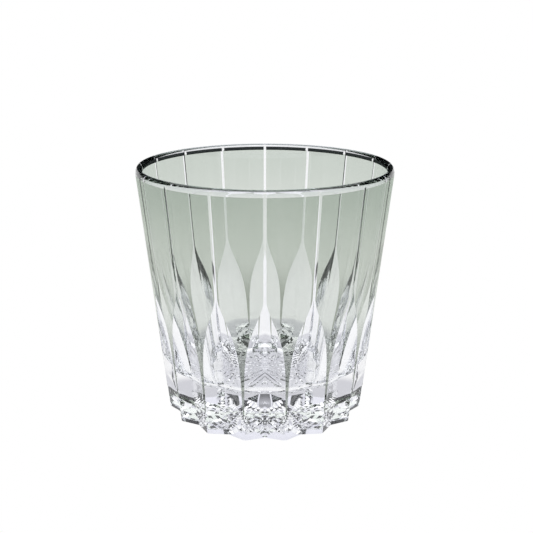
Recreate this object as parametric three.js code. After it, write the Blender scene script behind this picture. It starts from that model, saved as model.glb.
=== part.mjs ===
// A cut-crystal whiskey tumbler in two fused glasses: a clear crystal body, and a thin smoke-coloured
// casing over its outside. Sixteen cuts run from the foot to the rim. Each is a fine mitre line near the
// rim that widens into a pointed leaf near the foot, and together they part the casing into sixteen
// panels. The casing stops short of the rounded rim. The underside holds a star of long and short rays,
// and the glass stands on the flat lands between the long rays and its sixteen-pointed outline.
//
// Millimetres, +Z up. The origin is the centre of the foot, on the surface that the glass stands on.
// One cut faces -Y.

import * as THREE from "three";

// Driving dimensions
const HEIGHT = 89;
const TOP_RADIUS = 45; // outside of the rim
const FOOT_RADIUS = 35.6; // outside of the ridges at the foot
const RIM_WALL = 2.3;
const RIM_BAND = 2.3; // height of the rounded rim, which the casing leaves bare
const FLOOR_HEIGHT = 13; // inside floor above the table
const EVEN_WALL_BOTTOM = 66; // the wall keeps the rim's thickness above this height
const BOWL_RADIUS_AT_FLOOR = 30.5; // the bowl's side carried down to the floor
const CORNER_TOP = 20.5; // height where the side starts to turn into the floor
const CORNER_POWER = 3; // of the superellipse that it turns along

const CASING = 0.13; // from the casing's outside to the crystal under it
const CASING_GAP = 0.04; // clearance that keeps the two solids apart
const CASING_FOOT = 8; // height where the casing panels run out to a point

const CUTS = 16;
const LINE_HALF_WIDTH = 0.5; // of the mitre line
const LEAF_TOP = 52; // height where the line starts to widen
const LEAF_LENGTH = 13.6; // over which most of the widening happens
const LEAF_SHARPNESS = 1.6;
const LAND_AT_TOP = 0.04; // share of the pitch that stays uncut between leaves above the foot
const LAND_HALF_WIDTH = 0.1; // least half width left on a ridge

// Depth of a cut for each millimetre of half width
const LINE_SLOPE = 0.36; // in the mitre line
const LEAF_SLOPE = 0.1; // in the leaf, whose wheel is blunter
const LEAF_SLOPE_REACH = 50; // height where the mitre line's slope is reached
const FOOT_SLOPE = 0.22; // added at the foot, where the cuts turn inwards
const FOOT_SLOPE_REACH = 14;

// Star on the underside
const LONG_RAY = 32;
const LONG_RAY_DEPTH = 2.2;
const SHORT_RAY = 22;
const SHORT_RAY_DEPTH = 2.6;
const RAY_SLOPE = 0.5; // depth of a ray for each millimetre of half width
const LEAST_TURN = 0.004; // least angle between two edges of the star

// Derived sizes
const RIM_ROUND = RIM_WALL / 2;
const RIM_CENTRE = HEIGHT - RIM_BAND;
const RIM_MIDDLE = TOP_RADIUS - RIM_ROUND;
const SECTOR = (2 * Math.PI) / CUTS;
const HALF_SECTOR = SECTOR / 2;

// Mesh steps
const HALF_PANEL_STEPS = 2; // from a panel's edge to its middle
const RIM_STEPS = 6; // round the rim from the outside to the inside
const CORNER_STEPS = 7; // round the bowl's corner
const FOOT_ROWS = 2;
const LEAF_ROWS = 14;
const LINE_ROWS = 2;
const BOWL_ROWS = 7;
const STAR_RINGS = 6;

const clamp01 = (x) => Math.min(1, Math.max(0, x));
const steps = (from, to, count) =>
  Array.from({ length: count + 1 }, (_, i) => from + ((to - from) * i) / count);

// ---- Outside profile and the cuts ----

const outsideRadius = (z) => FOOT_RADIUS + ((TOP_RADIUS - FOOT_RADIUS) * z) / RIM_CENTRE;

// Share of the full pitch that the cut takes at height z: 0 in the mitre line, 1 at the foot.
function opening(z) {
  const below = Math.max(0, LEAF_TOP - z);
  const widening = 1 - Math.exp(-((below / LEAF_LENGTH) ** LEAF_SHARPNESS));
  return widening * (1 - LAND_AT_TOP * clamp01((z - CASING_FOOT) / CASING_FOOT));
}

function cutSlope(z) {
  const t = clamp01(z / LEAF_SLOPE_REACH);
  const leaf = LEAF_SLOPE + (LINE_SLOPE - LEAF_SLOPE) * t * t * (3 - 2 * t);
  return leaf + FOOT_SLOPE * (1 - clamp01(z / FOOT_SLOPE_REACH));
}

// Radius of a cut's deepest line. Both its faces fall straight to it from the outside surface.
function valleyRadius(z) {
  const radius = outsideRadius(z);
  const full = radius * Math.sin(HALF_SECTOR) - LAND_HALF_WIDTH;
  const half = Math.min(full, LINE_HALF_WIDTH + (full - LINE_HALF_WIDTH) * opening(z));
  return Math.sqrt(radius ** 2 - half ** 2) - cutSlope(z) * half;
}

// Half angle of the cut where one of its faces crosses a circle of the given radius.
function cutHalfAngle(z, radius) {
  const slope = cutSlope(z);
  const valley = valleyRadius(z);
  const lean = 1 + slope ** 2;
  const reach = Math.sqrt((valley * slope) ** 2 + lean * (radius ** 2 - valley ** 2));
  return Math.asin((reach - valley * slope) / lean / radius);
}

// ---- Inside of the bowl ----

const evenWallRadius = (z) => outsideRadius(z) - RIM_WALL;
const wallGrowth =
  (evenWallRadius(FLOOR_HEIGHT) - BOWL_RADIUS_AT_FLOOR) / (EVEN_WALL_BOTTOM - FLOOR_HEIGHT) ** 2;
const bowlRadius = (z) =>
  evenWallRadius(z) - wallGrowth * Math.max(0, EVEN_WALL_BOTTOM - z) ** 2;

// Where the side has turned this far into the floor.
function cornerPoint(turn) {
  const z = CORNER_TOP - (CORNER_TOP - FLOOR_HEIGHT) * Math.sin(turn) ** (2 / CORNER_POWER);
  return { r: bowlRadius(z) * Math.cos(turn), z };
}

// ---- Rings of points, all with the same number of columns ----

// Angle 0 faces -Y, and angles turn towards +X.
const polar = (r, angle, z) => [r * Math.sin(angle), -r * Math.cos(angle), z];

// A closed ring from half a sector's columns, from the middle of a cut to the middle of a panel.
function ring(half) {
  const mirrored = half.slice(1, -1).reverse();
  const points = [];
  for (let cut = 0; cut < CUTS; cut++) {
    for (const c of half) points.push(polar(c.r, cut * SECTOR + c.angle, c.z));
    for (const c of mirrored) points.push(polar(c.r, (cut + 1) * SECTOR - c.angle, c.z));
  }
  return points;
}

// The crystal's outside at height z: valley and ridge, or valley and panel seat.
function wallRing(z) {
  const r = outsideRadius(z) - CASING;
  const angles = steps(cutHalfAngle(z, r), HALF_SECTOR, HALF_PANEL_STEPS);
  return ring([{ angle: 0, r: valleyRadius(z), z }, ...angles.map((angle) => ({ angle, r, z }))]);
}

// A circle, notched where it lies outside the valley of the mitre lines.
function notchedRing(r, z) {
  const angles = steps(LINE_HALF_WIDTH / TOP_RADIUS, HALF_SECTOR, HALF_PANEL_STEPS);
  const valley = Math.min(r, valleyRadius(RIM_CENTRE));
  return ring([{ angle: 0, r: valley, z }, ...angles.map((angle) => ({ angle, r, z }))]);
}

// The star at radius r: a long ray in line with a cut, a land or a ridge, and a short ray.
function starRing(r) {
  const longDepth = LONG_RAY_DEPTH * Math.sqrt(1 - (r / LONG_RAY) ** 2);
  const shortDepth = SHORT_RAY_DEPTH * Math.sqrt(Math.max(0, 1 - (r / SHORT_RAY) ** 2));
  const meeting = (HALF_SECTOR + (longDepth - shortDepth) / RAY_SLOPE / r) / 2;
  const ridge = Math.min(Math.max(meeting, 0.2 * HALF_SECTOR), 0.8 * HALF_SECTOR);
  const longEdge = Math.max(LEAST_TURN, Math.min(longDepth / RAY_SLOPE / r, ridge - LEAST_TURN));
  const shortEdge = Math.max(HALF_SECTOR - shortDepth / RAY_SLOPE / r, ridge + LEAST_TURN);
  const height = (angle) =>
    Math.max(
      0,
      longDepth - RAY_SLOPE * r * angle,
      shortDepth - RAY_SLOPE * r * (HALF_SECTOR - angle),
    );
  return ring(
    [0, longEdge, Math.min(shortEdge, HALF_SECTOR - LEAST_TURN), HALF_SECTOR].map((angle) => ({
      angle,
      r,
      z: height(angle),
    })),
  );
}

// ---- Solids ----

// A closed surface through rings of equal length, with a point at each end.
function closedSurface(first, rings, last) {
  const columns = rings[0].length;
  const positions = [first, ...rings.flat(), last].flat();
  const end = 1 + rings.length * columns;
  const at = (row, column) => 1 + row * columns + (column % columns);
  const index = [];
  for (let c = 0; c < columns; c++) {
    index.push(0, at(0, c + 1), at(0, c));
    for (let row = 0; row + 1 < rings.length; row++) {
      index.push(at(row, c), at(row, c + 1), at(row + 1, c));
      index.push(at(row, c + 1), at(row + 1, c + 1), at(row + 1, c));
    }
    index.push(end, at(rings.length - 1, c), at(rings.length - 1, c + 1));
  }
  return indexed(positions, index);
}

function indexed(positions, index) {
  const geometry = new THREE.BufferGeometry();
  geometry.setAttribute("position", new THREE.Float32BufferAttribute(positions, 3));
  geometry.setIndex(index);
  geometry.computeVertexNormals();
  return geometry;
}

const casingHeights = [
  ...steps(CASING_FOOT, LEAF_TOP, LEAF_ROWS),
  ...steps(LEAF_TOP, RIM_CENTRE, LINE_ROWS).slice(1),
];

function crystalBody() {
  const star = steps(0, LONG_RAY, STAR_RINGS).slice(1).map(starRing);
  const foot = steps(0, CASING_FOOT, FOOT_ROWS).slice(0, -1).map(wallRing);
  const seat = casingHeights.map(wallRing);
  const rim = steps(0, Math.PI, RIM_STEPS).map((turn) =>
    notchedRing(
      RIM_MIDDLE + RIM_ROUND * Math.cos(turn),
      RIM_CENTRE + RIM_BAND * Math.sin(turn),
    ),
  );
  const side = steps(RIM_CENTRE, CORNER_TOP, BOWL_ROWS)
    .slice(1)
    .map((z) => notchedRing(bowlRadius(z), z));
  const corner = steps(0, Math.PI / 2, CORNER_STEPS)
    .slice(1, -1)
    .map(cornerPoint)
    .map(({ r, z }) => notchedRing(r, z));
  const rings = [...star, ...foot, ...seat, ...rim, ...side, ...corner];
  return closedSurface([0, 0, SHORT_RAY_DEPTH], rings, [0, 0, FLOOR_HEIGHT]);
}

// One casing panel, between two neighbouring cuts. Its sides follow the slope of the cuts.
function casingPanel() {
  const across = 2 * HALF_PANEL_STEPS + 1;
  const section = (z) => {
    const row = (depth) => {
      const r = outsideRadius(z) - depth;
      const halfAngle = HALF_SECTOR - cutHalfAngle(z, r);
      return steps(-1, 1, across - 1).map((t) => polar(r, t * halfAngle, z));
    };
    return [...row(0), ...row(CASING - CASING_GAP).reverse()];
  };
  const sections = casingHeights.map(section);
  const around = 2 * across;
  const at = (row, i) => row * around + (i % around);
  const index = [];
  for (let row = 0; row + 1 < sections.length; row++)
    for (let i = 0; i < around; i++) {
      index.push(at(row, i), at(row, i + 1), at(row + 1, i));
      index.push(at(row, i + 1), at(row + 1, i + 1), at(row + 1, i));
    }
  const top = sections.length - 1;
  for (let i = 0; i + 1 < across; i++) {
    const [a, b, c, d] = [i, i + 1, around - 2 - i, around - 1 - i];
    index.push(at(0, a), at(0, d), at(0, b), at(0, b), at(0, d), at(0, c));
    index.push(at(top, a), at(top, b), at(top, d), at(top, b), at(top, c), at(top, d));
  }
  return indexed(sections.flat(2), index);
}

// ---- Materials ----

const clearCrystal = new THREE.MeshStandardMaterial({
  color: 0xf4f7fb,
  roughness: 0.02,
  metalness: 0,
  transparent: true,
  opacity: 0.3,
});

const smokeGlass = new THREE.MeshStandardMaterial({
  color: 0xadb3a9,
  roughness: 0.04,
  metalness: 0,
  transparent: true,
  opacity: 0.5,
});

// ---- The tumbler ----

const tumbler = new THREE.Group();

const body = new THREE.Mesh(crystalBody(), clearCrystal);
body.name = "crystal_body";
tumbler.add(body);

const panelGeometry = casingPanel();
for (let i = 0; i < CUTS; i++) {
  const panel = new THREE.Mesh(panelGeometry, smokeGlass);
  panel.name = `smoke_casing_${String(i + 1).padStart(2, "0")}`;
  panel.rotation.z = (i + 0.5) * SECTOR;
  tumbler.add(panel);
}

export default tumbler;
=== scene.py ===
import math
from itertools import chain

import bpy
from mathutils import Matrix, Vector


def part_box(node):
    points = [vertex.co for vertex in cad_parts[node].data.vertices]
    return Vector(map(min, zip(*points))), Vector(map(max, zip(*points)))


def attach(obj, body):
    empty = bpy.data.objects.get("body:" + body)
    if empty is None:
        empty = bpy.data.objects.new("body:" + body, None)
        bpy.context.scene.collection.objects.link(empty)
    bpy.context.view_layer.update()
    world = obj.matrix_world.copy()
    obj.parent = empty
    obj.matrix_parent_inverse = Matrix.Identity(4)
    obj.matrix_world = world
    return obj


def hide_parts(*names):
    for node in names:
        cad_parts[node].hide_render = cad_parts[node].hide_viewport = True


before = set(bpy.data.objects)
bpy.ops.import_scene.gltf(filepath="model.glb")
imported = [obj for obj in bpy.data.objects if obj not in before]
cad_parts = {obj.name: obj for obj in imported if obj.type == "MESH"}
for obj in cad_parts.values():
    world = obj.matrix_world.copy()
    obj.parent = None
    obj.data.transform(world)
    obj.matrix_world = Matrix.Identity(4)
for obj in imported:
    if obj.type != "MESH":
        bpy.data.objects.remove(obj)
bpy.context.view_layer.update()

# A cut-crystal tumbler in two fused glasses: a clear body, and sixteen panels of smoke glass over it.
# Metres, in the CAD's frame. Angle 0 faces -Y, where one cut is, and angles turn towards +X.

MM = 0.001

# ---- Sizes of the glass ----

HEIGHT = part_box("crystal_body")[1].z
TOP_RADIUS = max(
    math.hypot(v.co.x, v.co.y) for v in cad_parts["smoke_casing_01"].data.vertices
)
FOOT_RADIUS = 35.6 * MM  # outside of the ridges at the foot
RIM_WALL = 2.3 * MM
RIM_BAND = 2.3 * MM  # height of the rounded rim, above the panels

FLOOR_HEIGHT = 13 * MM  # inside floor above the table
EVEN_WALL_BOTTOM = 66 * MM  # the wall keeps the rim's thickness above this height
BOWL_RADIUS_AT_FLOOR = 30.5 * MM  # the bowl's side carried down to the floor
CORNER_TOP = 20.5 * MM  # height where the side starts to turn into the floor
CORNER_POWER = 3  # of the superellipse that it turns along

CASING = 0.1 * MM  # depth of the seat under the panels
BOND_GAP = 0.005 * MM  # keeps a panel's inner face off the body's seat
CASING_FOOT = 8 * MM  # height where the panels run out to a point

CUTS = 16
LINE_HALF_WIDTH = 0.5 * MM  # of the mitre line
LEAF_TOP = 52 * MM  # height where the line starts to widen into a leaf
LEAF_LENGTH = 13.6 * MM  # over which most of the widening happens
LEAF_SHARPNESS = 1.6
LAND_AT_TOP = 0.04  # share of the pitch that stays uncut between leaves above the foot
LAND_HALF_WIDTH = 0.1 * MM  # least half width left on a ridge

# Depth of a cut for each metre of half width
LINE_SLOPE = 0.36
LEAF_SLOPE = 0.10
LEAF_SLOPE_REACH = 50 * MM  # height where the mitre line's slope is reached
FOOT_SLOPE = 0.22  # added at the foot, where the cuts turn inwards
FOOT_SLOPE_REACH = 14 * MM

# Star on the underside
LONG_RAY = 32 * MM
LONG_RAY_DEPTH = 2.2 * MM
SHORT_RAY = 22 * MM
SHORT_RAY_DEPTH = 2.6 * MM
RAY_SLOPE = 0.5
RIDGE_LIMITS = (0.2, 0.8)  # shares of the half sector between which two rays meet
LEAST_TURN = 0.002  # least angle between two edges of the star
WHEEL_MARK = 0.05  # share of a ray's depth by which the marks across it rise and fall

# Derived sizes
RIM_ROUND = RIM_WALL / 2
RIM_CENTRE = HEIGHT - RIM_BAND
RIM_MIDDLE = TOP_RADIUS - RIM_ROUND
SECTOR = 2 * math.pi / CUTS
HALF_SECTOR = SECTOR / 2

# Mesh steps
FACET_STEPS = 3  # across one face of a cut
PANEL_STEPS = 7  # from a panel's edge to its middle
LAND_STEPS = 3  # across the land between two rays
RIM_STEPS = 96
CORNER_STEPS = 36
FOOT_ROWS = 8
LEAF_ROWS = 60
LINE_ROWS = 6
BOWL_ROWS = 40
STAR_RINGS = 20
SHARP_ANGLE = math.radians(4)
PAINTED_DARK_LIP_START = math.radians(60)  # turn round the rim, from its outside, where the painted dark lip starts


def clamp01(x):
    return min(1.0, max(0.0, x))


def steps(start, end, count):
    return [start + (end - start) * i / count for i in range(count + 1)]


# ---- Outside profile and the cuts ----

def outside_radius(z):
    return FOOT_RADIUS + (TOP_RADIUS - FOOT_RADIUS) * z / RIM_CENTRE


def opening(z):
    """Share of the full pitch that a cut takes: 0 in the mitre line, 1 at the foot."""
    below = max(0.0, LEAF_TOP - z)
    widening = 1 - math.exp(-((below / LEAF_LENGTH) ** LEAF_SHARPNESS))
    return widening * (1 - LAND_AT_TOP * clamp01((z - CASING_FOOT) / CASING_FOOT))


def cut_slope(z):
    t = clamp01(z / LEAF_SLOPE_REACH)
    leaf = LEAF_SLOPE + (LINE_SLOPE - LEAF_SLOPE) * t * t * (3 - 2 * t)
    return leaf + FOOT_SLOPE * (1 - clamp01(z / FOOT_SLOPE_REACH))


def valley_radius(z):
    """Radius of a cut's deepest line. Both its faces fall straight to it from the outside."""
    radius = outside_radius(z)
    full = radius * math.sin(HALF_SECTOR) - LAND_HALF_WIDTH
    half = min(full, LINE_HALF_WIDTH + (full - LINE_HALF_WIDTH) * opening(z))
    return math.sqrt(radius ** 2 - half ** 2) - cut_slope(z) * half


def cut_half_angle(z, radius):
    """Half angle of a cut where one of its faces crosses a circle of this radius."""
    slope = cut_slope(z)
    valley = valley_radius(z)
    lean = 1 + slope ** 2
    reach = math.sqrt((valley * slope) ** 2 + lean * (radius ** 2 - valley ** 2))
    return math.asin((reach - valley * slope) / lean / radius)


# ---- Inside of the bowl ----

def even_wall_radius(z):
    """Inside radius of a wall that keeps the rim's thickness."""
    return outside_radius(z) - RIM_WALL


WALL_GROWTH = (even_wall_radius(FLOOR_HEIGHT) - BOWL_RADIUS_AT_FLOOR) / (
    EVEN_WALL_BOTTOM - FLOOR_HEIGHT
) ** 2


def bowl_radius(z):
    return even_wall_radius(z) - WALL_GROWTH * max(0.0, EVEN_WALL_BOTTOM - z) ** 2


def corner_point(turn):
    """Radius and height where the side has turned this far into the floor."""
    z = CORNER_TOP - (CORNER_TOP - FLOOR_HEIGHT) * math.sin(turn) ** (2 / CORNER_POWER)
    return bowl_radius(z) * math.cos(turn), z


# ---- Rings of points, all with the same number of columns ----

def polar(radius, angle, z):
    return (radius * math.sin(angle), -radius * math.cos(angle), z)


def full_ring(half_sector):
    """A closed ring from (angle, radius, z) points that run from a cut's valley to a panel's middle."""
    points = []
    for cut in range(CUTS):
        centre = cut * SECTOR
        points += [polar(r, centre + angle, z) for angle, r, z in half_sector]
        points += [polar(r, centre + SECTOR - angle, z) for angle, r, z in half_sector[-2:0:-1]]
    return points


def seat_ring(z):
    """The body's outside: a cut's face, then the seat of a casing panel."""
    seat = outside_radius(z) - CASING
    valley = valley_radius(z)
    edge = cut_half_angle(z, seat)
    side = seat * math.sin(edge)
    rise = seat * math.cos(edge) - valley
    face = [(side * t, valley + rise * t) for t in steps(0, 1, FACET_STEPS)[:-1]]
    columns = [(math.atan2(x, y), math.hypot(x, y), z) for x, y in face]
    return full_ring(columns + [(angle, seat, z) for angle in steps(edge, HALF_SECTOR, PANEL_STEPS)])


def notched_ring(radius, z):
    """A circle, notched where it lies outside the valley of the mitre lines."""
    valley = min(radius, valley_radius(RIM_CENTRE))
    edge = LINE_HALF_WIDTH / TOP_RADIUS
    notch = [(edge * t, valley + (radius - valley) * t, z) for t in steps(0, 1, FACET_STEPS)[:-1]]
    return full_ring(notch + [(angle, radius, z) for angle in steps(edge, HALF_SECTOR, PANEL_STEPS)])


def rim_ring(turn):
    return notched_ring(
        RIM_MIDDLE + RIM_ROUND * math.cos(turn),
        RIM_CENTRE + RIM_BAND * math.sin(turn),
    )


def ray_depth(depth, reach, radius):
    return depth * math.sqrt(max(0.0, 1 - (radius / reach) ** 2))


def star_ring(radius, mark):
    """The underside at one radius: a long ray in line with a cut, a land or ridge, and a short ray.

    The wheel's mark deepens the rays by a share of their depth.
    """
    long_depth = ray_depth(LONG_RAY_DEPTH, LONG_RAY, radius)
    short_depth = ray_depth(SHORT_RAY_DEPTH, SHORT_RAY, radius)
    fall = RAY_SLOPE * radius
    meeting = (HALF_SECTOR + (long_depth - short_depth) / fall) / 2
    first, last = (share * HALF_SECTOR for share in RIDGE_LIMITS)
    ridge = min(max(meeting, first), last)
    long_edge = max(LEAST_TURN, min(long_depth / fall, ridge - LEAST_TURN))
    short_edge = max(HALF_SECTOR - short_depth / fall, ridge + LEAST_TURN)
    short_edge = min(HALF_SECTOR - LEAST_TURN, short_edge)
    angles = (
        steps(0, long_edge, FACET_STEPS)[:-1]
        + steps(long_edge, short_edge, LAND_STEPS)[:-1]
        + steps(short_edge, HALF_SECTOR, PANEL_STEPS - LAND_STEPS)
    )

    def height(angle):
        in_long_ray = long_depth - fall * angle
        in_short_ray = short_depth - fall * (HALF_SECTOR - angle)
        return (1 + mark) * max(0.0, in_long_ray, in_short_ray)

    return full_ring([(angle, radius, height(angle)) for angle in angles])


# ---- Meshes ----

# The last slot holds the painted dark lip: painted shade on the rim, not smoke glass.
CRYSTAL, BOND, SMOKE, PAINTED_DARK_LIP = range(4)  # material slots of every piece


def finish_mesh(name, points, faces, slots, materials):
    mesh = bpy.data.meshes.new(name)
    mesh.from_pydata(points, [], faces)
    for material in materials:
        mesh.materials.append(material)
    mesh.polygons.foreach_set("material_index", slots)
    mesh.polygons.foreach_set("use_smooth", [True] * len(faces))
    mesh.set_sharp_from_angle(angle=SHARP_ANGLE)
    mesh.update()
    piece = bpy.data.objects.new(name, mesh)
    bpy.context.scene.collection.objects.link(piece)
    return piece


def casing_heights():
    return steps(CASING_FOOT, LEAF_TOP, LEAF_ROWS) + steps(LEAF_TOP, RIM_CENTRE, LINE_ROWS)[1:]


def crystal_body(materials):
    """The clear body, as one surface from the star's centre out, up, over the rim and down the bowl."""
    star = [
        star_ring(radius, WHEEL_MARK * (-1) ** i)
        for i, radius in enumerate(steps(0, LONG_RAY, STAR_RINGS)[1:])
    ]
    foot = [seat_ring(z) for z in steps(0, CASING_FOOT, FOOT_ROWS)[:-1]]
    seat = [seat_ring(z) for z in casing_heights()]
    rim = [rim_ring(turn) for turn in steps(0, math.pi, RIM_STEPS)]
    side = [notched_ring(bowl_radius(z), z) for z in steps(RIM_CENTRE, CORNER_TOP, BOWL_ROWS)[1:]]
    corner = [
        notched_ring(*corner_point(turn)) for turn in steps(0, math.pi / 2, CORNER_STEPS)[1:-1]
    ]
    rings = star + foot + seat + rim + side + corner
    columns = len(rings[0])
    last = len(rings) - 1
    points = [(0, 0, SHORT_RAY_DEPTH), *chain.from_iterable(rings), (0, 0, FLOOR_HEIGHT)]

    first_seat = len(star) + len(foot)
    first_rim = first_seat + len(seat)
    seat_rows = range(first_seat, first_rim - 1)
    # Rows of the rim that carry the painted dark lip (painted shade).
    painted_dark_lip_rows = range(first_rim + round(PAINTED_DARK_LIP_START / math.pi * RIM_STEPS), first_rim + RIM_STEPS)
    panel_columns = range(FACET_STEPS, FACET_STEPS + 2 * PANEL_STEPS)
    columns_per_cut = columns // CUTS
    faces, slots = [], []

    def at(row, column):
        return 1 + row * columns + column % columns

    def slot(row, column):
        if column % columns_per_cut not in panel_columns:
            return CRYSTAL
        # Panel columns high on the rim take the painted dark lip, which is painted shade.
        return BOND if row in seat_rows else PAINTED_DARK_LIP if row in painted_dark_lip_rows else CRYSTAL

    for c in range(columns):
        faces.append((0, at(0, c + 1), at(0, c)))
        slots.append(CRYSTAL)
        for row in range(last):
            faces.append((at(row, c), at(row, c + 1), at(row + 1, c + 1), at(row + 1, c)))
            slots.append(slot(row, c))
        faces.append((len(points) - 1, at(last, c), at(last, c + 1)))
        slots.append(CRYSTAL)
    return finish_mesh("cut_crystal", points, faces, slots, materials)


def casing_panel(index, materials):
    """One closed shell of smoke glass between two neighbouring cuts.

    Only its outer face bends and tints light. Light crosses its inner face and the seat under it
    unchanged, so the panel and the body look like one fused piece of glass.
    """
    middle = (index + 0.5) * SECTOR
    across = 2 * PANEL_STEPS
    around = 2 * (across + 1)

    def arc(z, radius, order):
        half = HALF_SECTOR - cut_half_angle(z, radius)
        return [polar(radius, middle + order * t * half, z) for t in steps(-1, 1, across)]

    heights = casing_heights()
    points = []
    for z in heights:
        radius = outside_radius(z)
        points += arc(z, radius, 1) + arc(z, radius - CASING + BOND_GAP, -1)

    faces, slots = [], []
    for row in range(len(heights) - 1):
        for i in range(around):
            a = row * around + i
            b = row * around + (i + 1) % around
            faces.append((a, b, b + around, a + around))
            slots.append(SMOKE if i < across else BOND if across < i < around - 1 else CRYSTAL)
    top = (len(heights) - 1) * around
    for i in range(across):
        a, b, c, d = i, i + 1, around - 2 - i, around - 1 - i
        faces.append((a, d, c, b))
        faces.append((top + a, top + b, top + c, top + d))
        slots += [CRYSTAL, CRYSTAL]
    return finish_mesh(f"smoke_panel_{index + 1:02d}", points, faces, slots, materials)


# ---- Node helpers ----

def node(tree, kind, inputs=(), **settings):
    """Add a node; each input is a socket name or number with a value or another node's output."""
    added = tree.nodes.new(kind)
    for setting, value in settings.items():
        setattr(added, setting, value)
    for name, value in dict(inputs).items():
        if isinstance(value, bpy.types.NodeSocket):
            tree.links.new(value, added.inputs[name])
        else:
            added.inputs[name].default_value = value
    return added


def math_node(tree, operation, *values):
    return node(tree, "ShaderNodeMath", enumerate(values), operation=operation).outputs[0]


def smooth_range(tree, value, low, high, to_low=0.0, to_high=1.0):
    inputs = {"Value": value, "From Min": low, "From Max": high, "To Min": to_low, "To Max": to_high}
    return node(tree, "ShaderNodeMapRange", inputs, interpolation_type="SMOOTHSTEP").outputs[0]


def mix_color(tree, factor, a, b):
    return node(tree, "ShaderNodeMix", {0: factor, 6: a, 7: b}, data_type="RGBA").outputs[2]


def split(tree, vector):
    return node(tree, "ShaderNodeSeparateXYZ", {0: vector}).outputs


def position(tree):
    return node(tree, "ShaderNodeNewGeometry").outputs["Position"]


def distance_in_plan(tree, place, centre):
    """Distance from a vertical line through the centre."""
    plan = node(tree, "ShaderNodeVectorMath", {0: place, 1: (1, 1, 0)}, operation="MULTIPLY")
    apart = node(tree, "ShaderNodeVectorMath", {0: plan.outputs[0], 1: centre}, operation="DISTANCE")
    return apart.outputs["Value"]


def streaks(tree, place, across, along):
    """Noise from 0 to 1, with its own number of features per metre across and along the height."""
    stretched = node(tree, "ShaderNodeMapping", {0: place, "Scale": (across, across, along)})
    return node(tree, "ShaderNodeTexNoise", {0: stretched.outputs[0], "Scale": 1.0}).outputs[0]


# ---- Materials ----

WHITE = (1, 1, 1, 1)
CRYSTAL_INDEX = 1.54  # of refraction


def new_material(name):
    material = bpy.data.materials.new(name)
    material.use_nodes = True
    material.node_tree.nodes.clear()
    return material, material.node_tree


def put_out(tree, shader):
    output = node(tree, "ShaderNodeOutputMaterial")
    tree.links.new(shader.outputs[0], output.inputs["Surface"])


def put_out_glass(tree, tint):
    glass = {"Color": tint, "Roughness": 0.0, "IOR": CRYSTAL_INDEX}
    put_out(tree, node(tree, "ShaderNodeBsdfGlass", glass))


def crystal_material():
    """Clear crystal whose faint blue cast drifts from place to place."""
    material, tree = new_material("clear_crystal")
    bluish = (0.97, 0.975, 0.985, 1)
    clear = (0.995, 0.995, 1.0, 1)
    drift = streaks(tree, position(tree), 90.0, 40.0)
    put_out_glass(tree, mix_color(tree, drift, bluish, clear))
    return material


def bond_material():
    """The plane where the two glasses are fused, which light crosses unchanged."""
    material, tree = new_material("glass_bond")
    put_out(tree, node(tree, "ShaderNodeBsdfTransparent"))
    return material


def smoke_material():
    """Grey-green smoke glass: deeper near the rim and in the slivers near the foot, with faint reams."""
    material, tree = new_material("smoke_glass")
    middle_tint = (0.725, 0.755, 0.71, 1)
    upper_tint = (0.59, 0.64, 0.585, 1)
    sliver_tint = (0.40, 0.43, 0.38, 1)
    ream_strength = 0.12
    place = position(tree)
    z = split(tree, place)[2]
    upper = smooth_range(tree, z, 0.6 * HEIGHT, RIM_CENTRE)
    sliver = smooth_range(tree, z, 0.5 * HEIGHT, 0.25 * HEIGHT)
    tint = mix_color(tree, upper, middle_tint, upper_tint)
    tint = mix_color(tree, sliver, tint, sliver_tint)
    paler = mix_color(tree, ream_strength, tint, WHITE)
    put_out_glass(tree, mix_color(tree, streaks(tree, place, 260.0, 25.0), tint, paler))
    return material


def painted_dark_lip_material():
    """Crystal painted almost black low inside the back of the rim and all over its two sides: painted
    shade that stands in for the dark room the rim shows.
    """
    material, tree = new_material("painted_dark_lip")
    clear = (0.97, 0.98, 1, 1)
    # Near-black tint of the painted shade on the rim, standing in for the dark room.
    smoke = (0.03, 0.035, 0.035, 1)
    place = position(tree)
    x, y, z = split(tree, place)
    radius = distance_in_plan(tree, place, (0, 0, 0))
    inside = smooth_range(tree, radius, RIM_MIDDLE, RIM_MIDDLE - 0.2 * RIM_WALL)
    low = smooth_range(tree, z, RIM_CENTRE + 0.6 * RIM_BAND, RIM_CENTRE + 0.5 * RIM_BAND)
    behind = smooth_range(tree, y, -0.55 * TOP_RADIUS, -0.1 * TOP_RADIUS)
    # Painted shade: a dark line low inside the back of the rim, and the whole of its two sides.
    line = math_node(tree, "MULTIPLY", math_node(tree, "MULTIPLY", inside, low), behind)
    sides = smooth_range(tree, math_node(tree, "ABSOLUTE", x), 0.82 * TOP_RADIUS, 0.93 * TOP_RADIUS)
    painted_dark_share = math_node(tree, "MAXIMUM", line, sides)
    put_out_glass(tree, mix_color(tree, painted_dark_share, clear, smoke))
    return material


# ---- Stage ----

def floor_material():
    """A lit white table with two soft round painted shadows, seen from the camera only through the foot.
    """
    material, tree = new_material("pale_floor")
    painted_shadow_tint = (0.66, 0.66, 0.70, 1)
    behind_centre = (0, 18 * MM, 0)
    under_centre = (0, 0, 0)
    place = position(tree)
    from_behind = distance_in_plan(tree, place, behind_centre)
    from_under = distance_in_plan(tree, place, under_centre)
    # Painted shadow: one patch behind the glass and one under its foot.
    behind = smooth_range(tree, from_behind, 36 * MM, 27 * MM)
    under = smooth_range(tree, from_under, 28 * MM, 22 * MM)
    color = mix_color(tree, math_node(tree, "MAXIMUM", behind, under), WHITE, painted_shadow_tint)
    put_out(tree, node(tree, "ShaderNodeEmission", {"Color": color, "Strength": 1.0}))
    return material


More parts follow.
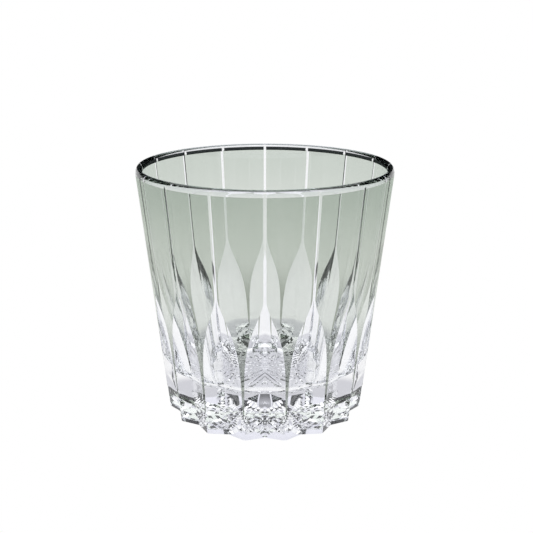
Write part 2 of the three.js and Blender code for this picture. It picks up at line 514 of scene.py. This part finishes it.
def pale_floor():
    half = 20  # metres to each edge, far enough to look like a horizon
    z = -0.1 * MM  # just clear of the foot
    corners = [(-half, -half, z), (half, -half, z), (half, half, z), (-half, half, z)]
    mesh = bpy.data.meshes.new("floor")
    mesh.from_pydata(corners, [], [(0, 1, 2, 3)])
    mesh.materials.append(floor_material())
    floor = bpy.data.objects.new("floor", mesh)
    bpy.context.scene.collection.objects.link(floor)


def studio_world():
    """A dark room with a pale horizon, a white ceiling and a panel of light behind the glass.

    Upwards the panel narrows, which puts dark edges into the cuts, and turns grey and then pale.
    All heights and widths here are those of a direction one unit long.
    """
    world = bpy.data.worlds.new("studio")
    bpy.context.scene.world = world
    world.use_nodes = True
    tree = world.node_tree
    dark = (0.02, 0.022, 0.025, 1)
    panel_grey = (0.62, 0.62, 0.68, 1)
    panel_pale = (0.87, 0.87, 0.94, 1)
    ceiling = (1.3, 1.3, 1.3, 1)
    x, y, z = split(tree, node(tree, "ShaderNodeTexCoord").outputs["Generated"])

    half_width = smooth_range(tree, z, 0.2, 0.3, 0.56, 0.27)
    past_side = math_node(tree, "SUBTRACT", math_node(tree, "ABSOLUTE", x), half_width)
    panel = smooth_range(tree, past_side, 0.06, -0.06)
    panel = math_node(tree, "MULTIPLY", panel, smooth_range(tree, y, 0.0, 0.2))
    panel = math_node(tree, "MULTIPLY", panel, smooth_range(tree, z, 0.56, 0.5))
    panel_tone = mix_color(tree, smooth_range(tree, z, 0.1, 0.3), WHITE, panel_grey)
    panel_tone = mix_color(tree, smooth_range(tree, z, 0.34, 0.44), panel_tone, panel_pale)

    color = mix_color(tree, panel, dark, panel_tone)
    color = mix_color(tree, smooth_range(tree, z, 0.6, 0.66), color, ceiling)
    color = mix_color(tree, smooth_range(tree, z, 0.1, 0.04), color, WHITE)
    background = tree.nodes["Background"]
    tree.links.new(color, background.inputs["Color"])
    background.inputs["Strength"].default_value = 1.0


def camera():
    """A long lens that looks down at the glass from the front."""
    distance = 319.2 * MM
    height = 147.7 * MM
    tilt = 0.2927  # radians below the horizontal
    data = bpy.data.cameras.new("camera")
    data.sensor_width = 36
    data.lens = 62.36
    data.shift_x = 0.003
    data.clip_start = 0.01
    view = bpy.data.objects.new("camera", data)
    view.location = (0, -distance, height)
    view.rotation_euler = (math.pi / 2 - tilt, 0, 0)
    bpy.context.scene.collection.objects.link(view)
    bpy.context.scene.camera = view


def color_and_bounces():
    """Plain colours, and enough bounces for light that is caught in the cuts."""
    scene = bpy.context.scene
    scene.view_settings.view_transform = "Standard"
    scene.cycles.max_bounces = 32
    scene.cycles.transmission_bounces = 32
    scene.cycles.glossy_bounces = 16
    scene.cycles.transparent_max_bounces = 64
    scene.cycles.sample_clamp_indirect = 10


# ---- The tumbler on its stage ----

def place_piece(piece, cad_node):
    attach(piece, "root")
    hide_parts(cad_node)


glasses = [crystal_material(), bond_material(), smoke_material(), painted_dark_lip_material()]
place_piece(crystal_body(glasses), "crystal_body")
for i in range(CUTS):
    place_piece(casing_panel(i, glasses), f"smoke_casing_{i + 1:02d}")

pale_floor()
studio_world()
camera()
color_and_bounces()
